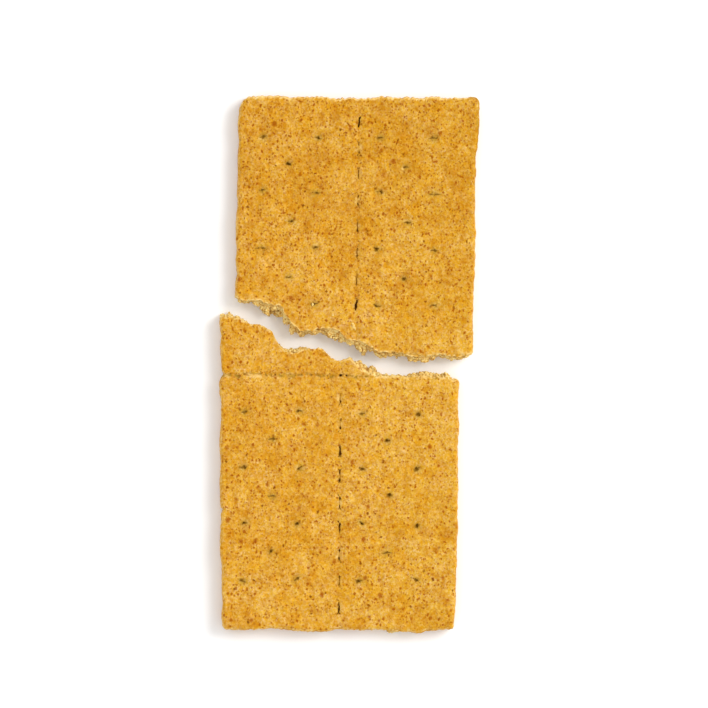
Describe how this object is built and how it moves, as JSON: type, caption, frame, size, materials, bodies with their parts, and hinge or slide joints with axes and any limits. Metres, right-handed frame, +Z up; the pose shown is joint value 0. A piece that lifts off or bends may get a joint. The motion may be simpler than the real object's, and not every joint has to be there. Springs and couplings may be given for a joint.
{
  "type": "graham cracker",
  "caption": "Rectangular graham cracker snapped across its middle, lying flat as two pieces, with docking holes, slits down the centre line and a scored line.",
  "frame": {"origin": "centre of the footprint of both pieces, on the surface they lie on", "axes": "+Y along the sheet's length, from the near piece to the far one; +X across it, to the right; +Z up out of the baked top"},
  "size_m": [0.0629, 0.1298, 0.0052],
  "materials": {
    "baked_crust": "matt baked wheat crust, golden tan with bran flecks and pale broken crumb"
  },
  "bodies": {
    "root": {"far_piece": "baked_crust", "near_piece": "baked_crust"}
  },
  "joints": []
}
